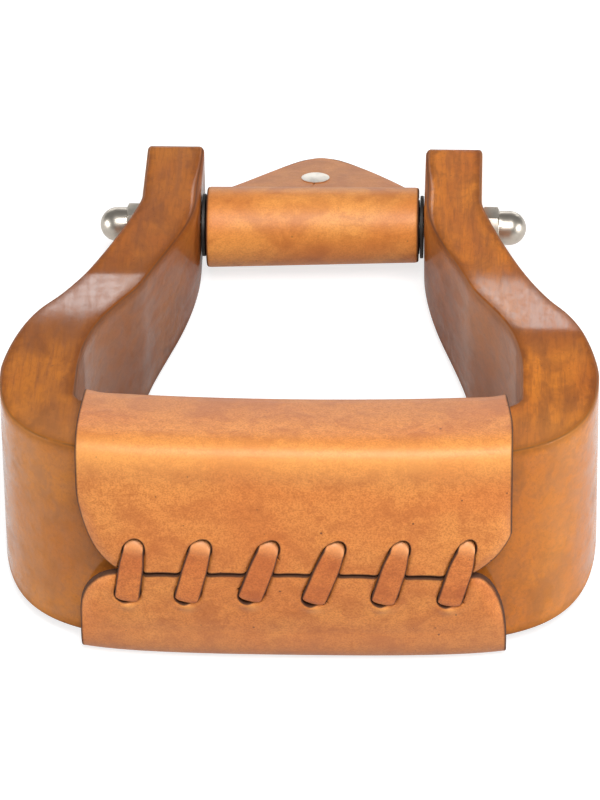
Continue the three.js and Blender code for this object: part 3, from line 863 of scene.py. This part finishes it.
def wrapped(point, to_edge):
    """Place on the tread of a point of the flat leather: x along it, y from the upper seam edge, z out."""
    x, depth = point.x, -point.z
    side, zones, from_seam = flap_at(point.y)
    along = from_seam
    zone = 0
    while zone < 4 and along > zones[zone]:
        along -= zones[zone]
        zone += 1
    share = clamped(along / zones[zone])
    # The rubbed corners of the flaps are pared thin towards their edge
    at_corner = eased((abs(x) - 45 * mm) / (8 * mm)) * (1 - eased((from_seam - 14 * mm) / (12 * mm)))
    pared = pared_depth * at_corner * max(0.0, 1 - to_edge / pared_reach) ** 2
    if zone == 0:
        edge = seam_at(x, side)
        z = edge + (bend_start(x, side) - edge) * share
        depth += (press(x, z) + pared) * (1 - depth / leather)
        return Vector((x, cover_front(x, z) + depth, z))
    depth += pared * (1 - depth / leather)
    first, second = cover_bends(round(x, 6), side, round(depth, 6))
    if zone == 1:
        y, z = on_bezier(*first, share)
    elif zone == 2:
        y, z = first[3].lerp(second[0], share)
    elif zone == 3:
        y, z = on_bezier(*second, share)
    else:
        y, z = second[3].lerp(Vector((cover_foot(x) - depth, 0.0)), share)
    return Vector((x, y, z))


def oiled_leather(name, pale, warm, ruddy, stretched_and_painted_light, nap=1.0, dye=(0.028, 0.012, 0.008)):
    """Tan leather: blotches of oil, a fine grain, a few pores, a marked tone that is part drawn grain and
    part painted light, marked painted shade, and dark rubbed edges, partly painted shade round slots and
    lace.
    """
    hide = Finish(name, Specular_IOR_Level=0.42)
    place = hide.place()
    cloud = hide.noise(place, (0.034, 0.020, 0.022), 3, 0.55, 0.5)
    blotch = hide.noise(place, (0.010, 0.008, 0.008), 4, 0.62, 0.5, shift=(3, 1, 2))
    mottle = hide.noise(place, (0.0022, 0.0020, 0.0020), 4, 0.68)
    grain = hide.noise(place, (0.00055, 0.0005, 0.0005), 3, 0.65)
    colour = hide.mix(cloud.rise(0.34, 0.64), warm, pale)
    colour = hide.mix(blotch.rise(0.44, 0.70) * 0.56, colour, ruddy)
    colour = hide.mix(mottle.rise(0.40, 0.70) * (0.38 * nap), colour, ruddy)
    colour = hide.mix(grain.rise(0.40, 0.64) * (0.46 * nap), colour, ruddy)
    cells = hide.node("TexVoronoi", {}, {"Vector": place, "Scale": 300.0})
    chance = hide.noise(place, (0.004, 0.004, 0.004), 1, 0.5, shift=(7, 5, 3))
    pore = (1 - cells.rise(0.07, 0.13)) * chance.rise(0.60, 0.64)
    colour = hide.mix(pore * (1.2 * nap - 0.35), colour, (0.10, 0.030, 0.014))
    # Partly drawn grain, partly painted light: a painted highlight on the cover and lace, painted shade on
    # the roller
    stretch_and_painted_light = hide.mark("stretch_and_painted_light")
    colour = hide.mix(stretch_and_painted_light * (0.45 + blotch) * (0.7 + cloud * 0.6), colour, stretched_and_painted_light)
    # Painted shade: darker where the leather turns away from the lamp
    painted_shade = hide.mark("painted_shade")
    colour = hide.mix(painted_shade * (0.25 + blotch * 0.5), colour, (0.44, 0.175, 0.080))
    # Dark dyed cut edges; round the slots and along the lace the dark band is partly painted shade of the
    # gaps
    rim = hide.mark("rim")
    edge = 1 - rim.rise(0.15, 0.75)
    colour = hide.mix(edge * 0.92, colour, dye)
    roughness = 0.36 + mottle * 0.12 + grain * 0.08 + edge * 0.4
    creases = hide.bump(grain, 0.22 * nap, 0.00022)
    skin = hide.bump(mottle, 0.14 * nap, 0.0004, creases)
    waves = hide.bump(blotch, 0.12, 0.0010, skin)
    hide.paint(Base_Color=colour, Roughness=roughness, Normal=waves)
    return hide


def thickened(piece, thickness, offset, edge_round, angle):
    """Gives flat leather its thickness and rubs its edges round."""
    worked(piece, "SOLIDIFY", thickness=thickness, offset=offset)
    worked(piece, "BEVEL", width=edge_round, segments=3, limit_method="ANGLE",
           angle_limit=radians(angle), use_clamp_overlap=False)


cover = blank("tread_cover_leather", 224, len(rows) - 1)
shaped(cover, lambda p: cut_round(p.x * 2 * half_cover, rows[round((p.y + 0.5) * (len(rows) - 1))]))
from_cut = distance_from([point.co for point in cut_edge(cover)])
lower_slots = []
for upper, lower, squeezed in stitches:
    slant = (upper.x - lower.x) / (upper.y - lower.y)
    for side, hole, zones, half_width, half_length in (
        (1, upper, upper_zones, squeezed + 0.15 * mm, upper_slot_half),
        (-1, lower, lower_zones, lace_width / 2 + 0.1 * mm, lower_slot_half),
    ):
        edge = seam_at(hole.x, side)
        along = zones[0] * (hole.y - edge) / (bend_start(hole.x, side) - edge)
        place = Vector((hole.x, row_at(side, along)))
        punched(cover, place, half_width, half_length, 0.75 * mm, slant)
    lower_slots.append(place)
from_slot = distance_from([point.co for point in cut_edge(cover)])
thickened(cover, leather, -1, 0.4 * mm, 50)
# The dark band round the slots is partly dyed edge and partly painted shade in the gap round each stitch
marked(cover, "rim", lambda p: min(1.0, from_cut(p.x, p.y) / (1.1 * mm), from_slot(p.x, p.y) / (0.7 * mm)))


def stretched_and_painted_light(p):
    """How pale the grain is drawn over the upper front bend and just below the lower slots, partly as a
    painted highlight there.
    """
    side, zones, along = flap_at(p.y)
    from_bend = (along - zones[0] - 0.42 * zones[1]) / (0.36 * zones[1])
    over_bend = 0.5 * exp(-(from_bend ** 2)) if side > 0 else 0.0
    from_lip = min((p.xy - slot - Vector((0, -5.2 * mm))).length for slot in lower_slots) / (1.9 * mm)
    return max(over_bend, 0.45 * exp(-(from_lip ** 2)))


def painted_shade(p):
    """How far painted shade darkens the foot side and the lower flap."""
    side, zones, along = flap_at(p.y)
    start, reach = (sum(zones[:2]), zones[2]) if side > 0 else (0.5 * zones[0], 0.8 * zones[0])
    return eased((along - start) / reach)


marked(cover, "stretch_and_painted_light", stretched_and_painted_light)
marked(cover, "painted_shade", painted_shade)
shaped(cover, lambda p: wrapped(p, from_cut(p.x, p.y)))
tan_hide = oiled_leather(
    "cover_tan", (0.78, 0.296, 0.066), (0.705, 0.229, 0.048), (0.44, 0.110, 0.021), (0.90, 0.41, 0.114))
finished(cover, tan_hide, "cover_leather", "frame", "tread_cover", smooth=50)


# Tread lace
# A flat thong of russet leather, pulled out through an upper slot, over the seam, in
# through the lower slot and on behind the cover to the next upper slot.
lace_thickness = 1.5 * mm
lace_front = 1.6 * mm
lace_back = -2.85 * mm
lace_crown = 0.22 * mm
lace_end = 7 * mm
lace_turn = 7.5 * mm
lace_behind = 25 * mm
upper_reach = 3.3 * mm
lower_reach = 2.85 * mm
turn_middle = (lace_front + lace_back) / 2
turn_rise = (lace_front - lace_back) / 2

# Legs of the lace: which way it runs, where from and to, its heading at each, its length,
# and half the width to which the stitch is squeezed
legs = []
for i, (upper, lower, squeezed) in enumerate(stitches):
    heading = (lower - upper).normalized()
    if i == 0:
        legs.append(("back", upper + heading * lace_end, upper, heading, heading, lace_end, squeezed))
    else:
        before = stitches[i - 1]
        left = (before[1] - before[0]).normalized()
        legs.append(("back", before[1], upper, left, heading, lace_behind, squeezed))
    legs += [
        ("out", upper, upper, heading, heading, lace_turn, squeezed),
        ("front", upper, lower, heading, heading, (lower - upper).length, squeezed),
        ("in", lower, lower, heading, heading, lace_turn, squeezed),
    ]
legs.append(("back", lower, lower - heading * lace_end, heading, heading, lace_end, lace_width / 2))
lace_length = sum(leg[5] for leg in legs)


def over_cover(x, z, out):
    """A point at a height over the middle layer of the cover's front."""
    step = 0.5 * mm
    slope_x = (cover_front(x + step, z) - cover_front(x - step, z)) / (2 * step)
    slope_z = (cover_front(x, z + step) - cover_front(x, z - step)) / (2 * step)
    normal = Vector((slope_x, -1, slope_z)).normalized()
    return Vector((x, cover_front(x, z), z)) + normal * (out - leather / 2)


def laced(point):
    """Place on the cover of a point of the flat thong: x across it, y along it, z out of its face."""
    across, along, out = point
    leg = 0
    while leg < len(legs) - 1 and along > legs[leg][5]:
        along -= legs[leg][5]
        leg += 1
    kind, start, end, heading, next_heading, length, squeezed = legs[leg]
    share = clamped(along / length)
    round_back = 1 - (2 * across / lace_width) ** 2
    squeeze = 2 * squeezed / lace_width
    if kind == "back":
        pull = (end - start).length / 2 if length == lace_end else abs(end.y - start.y) / 2
        curve = [start, start - heading * pull, end + next_heading * pull, end]
        place = on_bezier(*curve, share)
        ahead = on_bezier(*curve, min(1.0, share + 0.01)) - on_bezier(*curve, max(0.0, share - 0.01))
        toward = -ahead.normalized()
        across *= 1 + (squeeze - 1) * eased((share * length - length + 6 * mm) / (6 * mm))
        height = lace_back - out
    else:
        toward = heading
        if kind == "front":
            place = start.lerp(end, share)
            across *= 2 * stitch_half_width(squeezed, share * length) / lace_width
            height = lace_front + out + lace_crown * round_back
        else:
            angle, square, fullness, reach = pi * (0.5 - share), 0.55, 3.0, lower_reach
            if kind == "out":
                angle, square, fullness, reach = -angle, 0.95, 2.0, upper_reach
            cosine = max(0.0, cos(angle)) ** square
            sine = copysign(abs(sin(angle)) ** square, angle)
            round_end = max(0.0, 1 - abs(2.06 * across / lace_width) ** fullness) ** (1 / fullness)
            reach = (reach + out) * cosine * (0.25 + 0.75 * round_end)
            place = start + heading * (reach if kind == "in" else -reach)
            across *= squeeze if kind == "out" else 1
            height = turn_middle + (turn_rise + out + lace_crown * round_back) * sine
    sideways = Vector((-toward.y, toward.x))
    place = place + sideways * across
    return over_cover(place.x, place.y, height)


lace_steps = 900
thong = blank("tread_lace_thong", 12, lace_steps)
shaped(thong, lambda p: Vector((p.x * lace_width, (p.y + 0.5) * lace_length, lace_thickness / 2)))
thickened(thong, lace_thickness, -1, 0.5 * mm, 50)
# The lace's dark edges are partly dye and partly painted shade where it presses into the cover
marked(thong, "rim", lambda p: clamped((lace_width / 2 - abs(p.x)) / (0.9 * mm)))
turns = []
start = 0.0
for leg in legs:
    if leg[0] == "out":
        turns.append(start + 0.72 * leg[5])
    start += leg[5]
# The lace's turns are paler: partly drawn grain, partly a painted highlight where they face the lamp
marked(thong, "stretch_and_painted_light", lambda p: 0.6 * max(exp(-(((p.y - turn) / (2.0 * mm)) ** 2)) for turn in turns))
shaped(thong, laced)
russet = oiled_leather(
    "lace_russet", (0.72, 0.228, 0.048), (0.61, 0.166, 0.034), (0.38, 0.086, 0.019), (0.86, 0.40, 0.16))
finished(thong, russet, "lace_leather", "frame", "tread_lace", smooth=50)


# Bolt, nuts and washers
# A threaded rod runs through both necks, a steel spacer and the roller. An acorn nut
# closes each end, and a thin washer lies between each neck and the roller.
def turned(name, profile, steps=72):
    """A piece turned on its own z axis from a profile of (radius, height) points."""
    piece = new_object(name, bpy.ops.mesh.primitive_plane_add, size=1 * mm)
    bpy.ops.object.mode_set(mode="EDIT")
    bpy.ops.mesh.select_mode(type="VERT")
    bpy.ops.mesh.select_all(action="SELECT")
    bpy.ops.mesh.merge(type="CENTER")
    start = Vector((profile[0][0], 0, profile[0][1]))
    bpy.ops.transform.translate(value=start)
    for before, after in zip(profile, profile[1:]):
        move = (after[0] - before[0], 0, after[1] - before[1])
        bpy.ops.mesh.extrude_vertices_move(TRANSFORM_OT_translate={"value": move})
    bpy.ops.object.mode_set(mode="OBJECT")
    edited(piece, everywhere, bpy.ops.mesh.spin, steps=steps, angle=2 * pi,
           center=(0, 0, 0), axis=(0, 0, 1))
    edited(piece, everywhere, bpy.ops.mesh.remove_doubles, threshold=0.002 * mm)
    edited(piece, everywhere, bpy.ops.mesh.normals_make_consistent, inside=False)
    return piece


def plated(name, colour, roughness, scratch, metallic=1.0):
    """Plated metal: a faint mottle in the plating and hairline polishing marks."""
    metal = Finish(name, Metallic=metallic)
    place = metal.place()
    cloud = metal.noise(place, (0.003, 0.003, 0.003), 3, 0.6)
    hair = metal.noise(place, (0.006, 0.00015, 0.00015), 3, 0.6)
    tone = metal.mix(cloud.rise(0.4, 0.7) * 0.5, colour, [0.72 * c for c in colour])
    rough = roughness + cloud * 0.10 + hair * scratch
    metal.paint(Base_Color=tone, Roughness=rough, Normal=metal.bump(hair, scratch, 0.00005))
    return metal


def along_bolt(side):
    """From the lathe to the bolt's axis; side 1 points a piece's z to the right."""
    turn = Matrix.Rotation(side * pi / 2, 4, "Y")
    return laid @ Matrix.Translation((0, bolt_height, 0)) @ turn


nickel = plated("bright_nickel", (0.56, 0.51, 0.44), 0.25, 0.10)
zinc = plated("dull_zinc", (0.42, 0.41, 0.39), 0.32, 0.15)
across_flats = 11.11 * mm
hex_height = 5 * mm
nut_height = 13.2 * mm
dome_radius = 5.2 * mm
nut_seat = outer_half_neck + play
bore_end = 3.8 * mm
hex_radius = across_flats / sqrt(3)
for side, name in ((1, "right_cap_nut"), (-1, "left_cap_nut")):
    nut = new_object(
        name + "_plated", bpy.ops.mesh.primitive_cylinder_add, vertices=6, radius=hex_radius,
        depth=hex_height, location=(0, 0, nut_seat + hex_height / 2))
    bpy.ops.object.transform_apply(location=True, rotation=True, scale=True)
    fall = 0.6 * mm
    flat = across_flats / 2 - 0.15 * mm
    end = nut_seat + hex_height
    cone = turned("chamfer", [(0, nut_seat), (flat, nut_seat), (hex_radius + 0.1 * mm, nut_seat + fall),
                              (hex_radius + 0.1 * mm, end - fall), (flat, end), (0, end)], 96)
    trimmed(nut, "INTERSECT", cone)
    worked(nut, "BEVEL", width=0.12 * mm, segments=2, limit_method="ANGLE", angle_limit=radians(20))
    tip = nut_seat + nut_height
    inside = nut_seat + hex_height / 2
    halfway = (end + tip - dome_radius) / 2
    profile = [(0, inside), (dome_radius, inside), (dome_radius, end), (dome_radius, halfway)]
    for i in range(17):
        angle = pi / 2 * i / 16
        radius = dome_radius * cos(angle) if i < 16 else 0
        profile.append((radius, tip - dome_radius + dome_radius * sin(angle)))
    trimmed(nut, "UNION", turned("dome", profile))
    bore = turned("bore", [(0, 0), (bolt_hole, 0), (bolt_hole, tip - bore_end), (0, tip - bore_end)], 48)
    trimmed(nut, "DIFFERENCE", bore)
    finished(nut, nickel, "bright_nickel", "frame", name, placed=along_bolt(side), smooth=28)

washer_inner = inner_half_neck - 1.3 * mm
washer_outer = washer_inner + 1 * mm
washer_radius = 9.5 * mm
soft = 0.12 * mm
# The washers are painted near black, partly as painted shade in the gap between neck and roller
steel_in_painted_shade = plated("steel_in_painted_shade", (0.085, 0.080, 0.075), 0.50, 0.15)
for side, name in ((1, "right_washer"), (-1, "left_washer")):
    washer = turned(name + "_plated", [
        (bolt_hole, washer_inner), (washer_radius - soft, washer_inner),
        (washer_radius, washer_inner + soft), (washer_radius, washer_outer - soft),
        (washer_radius - soft, washer_outer), (bolt_hole, washer_outer), (bolt_hole, washer_inner)])
    finished(washer, steel_in_painted_shade, "plated_steel", "frame", name, placed=along_bolt(side))

for name in ("axle_rod", "spacer_tube"):
    painted(frame["nodes"][name], zinc)


# Roller
# A black plastic tube turns on the spacer. A strip of tan leather is folded round it, its
# two pointed ends laid together behind it and held by one rivet.
core_radius = 8.5 * mm
spacer_radius = 6.35 * mm
roller_half = washer_inner - 0.45 * mm
core_half = roller_half + 0.25 * mm
roller_leather = 2.85 * mm
flap_reach = 40 * mm
flap_droop = radians(13.7)
flap_offset = 4.4 * mm
rivet_reach = 21.6 * mm
rivet_hole = 2.3 * mm
on_roller = laid @ Matrix.Translation((0, bolt_height, 0)) @ Matrix.Rotation(-flap_droop, 4, "X")


def moulded_black(name):
    """Black plastic with a faint grey bloom and fine turning marks."""
    plastic = Finish(name, Roughness=0.5)
    place = plastic.place()
    bloom = plastic.noise(place, (0.003, 0.003, 0.003), 3, 0.6)
    rings = plastic.noise(place, (0.0002, 0.004, 0.004), 2, 0.5)
    tone = plastic.mix(bloom.rise(0.4, 0.7), (0.008, 0.008, 0.008), (0.020, 0.019, 0.018))
    plastic.paint(Base_Color=tone, Roughness=0.42 + bloom * 0.2, Normal=plastic.bump(rings, 0.2, 0.0001))
    return plastic


bevel = 0.4 * mm
bore_radius = spacer_radius + play
core = turned("roller_core_plastic", [
    (bore_radius, -core_half), (core_radius - bevel, -core_half), (core_radius, -core_half + bevel),
    (core_radius, core_half - bevel), (core_radius - bevel, core_half), (bore_radius, core_half),
    (bore_radius, -core_half)])
black = moulded_black("moulded_black")
finished(core, black, "black_plastic", "roller", "roller_core", placed=along_bolt(1))


def fold_line():
    """Middle layer of the strip from the tip of its upper end, round the core, to the lower tip."""
    middle = core_radius + play + roller_leather / 2
    leaf = (roller_leather + play) / 2

    def leave(angle, side, level):
        start = Vector((middle * cos(angle), side * middle * sin(angle)))
        fall = (start.y - level) / cos(angle) * side
        bend = Vector((start.x + sin(angle) * fall, level))
        end = Vector((bend.x + abs(fall) / 2, level))
        return [start.lerp(bend, t / 12).lerp(bend.lerp(end, t / 12), t / 12) for t in range(13)]

    upper_leave = radians(62)
    lower_leave = radians(25)
    sweep = 2 * pi - upper_leave - lower_leave
    line = [Vector((flap_reach, flap_offset + leaf))]
    line += reversed(leave(upper_leave, 1, flap_offset + leaf))
    for i in range(1, 90):
        angle = upper_leave + sweep * i / 90
        line.append(Vector((middle * cos(angle), middle * sin(angle))))
    line += leave(lower_leave, -1, flap_offset - leaf)
    line.append(Vector((flap_reach, flap_offset - leaf)))
    return line


fold = fold_line()
strip_length = sum((b - a).length for a, b in zip(fold, fold[1:]))
fold_steps = 900
fold = spread(fold, fold_steps)
right_taper = [Vector(p) * mm for p in ((8, 32.05), (20, 24.04), (40, 7.5), (40, 0))]
left_taper = [Vector(p) * mm for p in ((8, 32.05), (14, 22.5), (40, 8.3), (40, 0))]
tip_share = 0.8
tip_offset = 1.2 * mm


def cut_strip(p):
    """Cuts both ends of the flat strip to a rounded point; y runs from tip to tip."""
    rows_each = 0.27
    across = p.x * 2
    row = p.y + 0.5
    end = min(row, 1 - row)
    if end >= rows_each:
        plain = flap_reach - right_taper[0].x
        share = (row - rows_each) / (1 - 2 * rows_each)
        return Vector((across * roller_half, plain + (strip_length - 2 * plain) * share, 0))
    share = tip_share * (1 - end / rows_each)
    taper = left_taper if across < 0 else right_taper
    side = on_bezier(*taper, share)
    corner = on_bezier(*taper, tip_share)
    nose = last_share(tip_share, lambda t: on_bezier(*taper, t).y > abs(across) * corner.y)
    reach = side.x + (on_bezier(*taper, nose).x - corner.x) * (share / tip_share) ** 3
    x = across * side.y + tip_offset * (share / tip_share)
    from_tip = flap_reach - reach
    return Vector((x, from_tip if row < 0.5 else strip_length - from_tip, 0))


def folded(point):
    """Place round the core of a point of the flat strip, whose outer face isn't quite true to the core."""
    x, s, out = point
    share = clamped(s / strip_length) * fold_steps
    i = min(fold_steps - 1, int(share))
    on_line = fold[i].lerp(fold[i + 1], share - i)
    reach = 5
    heading = (fold[min(fold_steps, i + 1 + reach)] - fold[max(0, i - reach)]).normalized()
    outward = Vector((heading.y, -heading.x))
    on_core = (1 - eased((on_line.x - 4 * mm) / (6 * mm))) * (0.5 + out / roller_leather)
    leftward = -x / roller_half
    fuller = (0.15 + 0.42 * leftward) * mm
    lower = 0.6 * leftward * mm * outward.dot(Vector((-0.55, -0.83)))
    end_round = 0.3 * mm * max(0.0, 1 - (roller_half - abs(x)) / (1.2 * mm)) ** 2
    y, z = on_line + outward * (out + on_core * (fuller + lower - end_round))
    return Vector((x, y, z))


strip = blank("roller_cover_leather", 60, 190)
shaped(strip, cut_strip)
from_cut = distance_from([point.co for point in cut_edge(strip)])
for s in (flap_reach - rivet_reach, strip_length - flap_reach + rivet_reach):
    punched(strip, Vector((0, s)), rivet_hole, rivet_hole, 1.2 * mm)
thickened(strip, roller_leather, 0, 0.4 * mm, 60)
marked(strip, "rim", lambda p: min(1.0, from_cut(p.x, p.y) / (1.0 * mm)))
# Painted shade: the flap and the upper side of the roller are painted darker and ruddier
marked(strip, "stretch_and_painted_light",
       lambda p: 0.7 * (1 - eased((min(p.y, strip_length - p.y) - 34 * mm) / (20 * mm))))
shaped(strip, folded)
roller_tan = oiled_leather(
    "roller_tan", (0.90, 0.378, 0.086), (0.78, 0.275, 0.056), (0.50, 0.137, 0.028), (0.40, 0.130, 0.032),
    nap=0.6, dye=(0.060, 0.026, 0.014))
finished(strip, roller_tan, "cover_leather", "roller", "roller_cover", placed=on_roller, smooth=50)


# Rivet of the roller cover
# A double-cap rivet: the cap's stem goes down through both ends of the strip and closes on
# the post of the base below.
flap_half = roller_leather + 0.15 * mm
cap_seat = flap_half + 0.05 * mm
cap_radius = 4.3 * mm
cap_height = 1.1 * mm
profile = [(0, cap_seat + 0.3 * mm), (1.3 * mm, cap_seat), (1.3 * mm, cap_seat - 5.7 * mm),
           (2 * mm, cap_seat - 5.7 * mm), (2 * mm, cap_seat),
           (cap_radius - 0.2 * mm, cap_seat), (cap_radius, cap_seat + 0.25 * mm)]
for i in range(1, 11):
    across = 1 - i / 10
    profile.append((cap_radius * across, cap_seat + cap_height * (1 - 0.75 * across ** 2.4)))
on_flap = on_roller @ Matrix.Translation((0, rivet_reach, flap_offset))
cap = turned("flap_rivet_cap_plated", profile)
silver = plated("brushed_rivet", (0.93, 0.88, 0.80), 0.36, 0.22, 0.7)
finished(cap, silver, "bright_nickel", "roller", "flap_rivet_cap", placed=on_flap)
base_seat = -flap_half - 0.05 * mm
post = turned("flap_rivet_post_plated", [
    (0, base_seat - 0.9 * mm), (cap_radius - 0.7 * mm, base_seat - 0.9 * mm),
    (cap_radius, base_seat - 0.4 * mm), (cap_radius, base_seat),
    (1 * mm, base_seat), (1 * mm, flap_half), (0, flap_half)])
finished(post, silver, "bright_nickel", "roller", "flap_rivet_post", placed=on_flap)
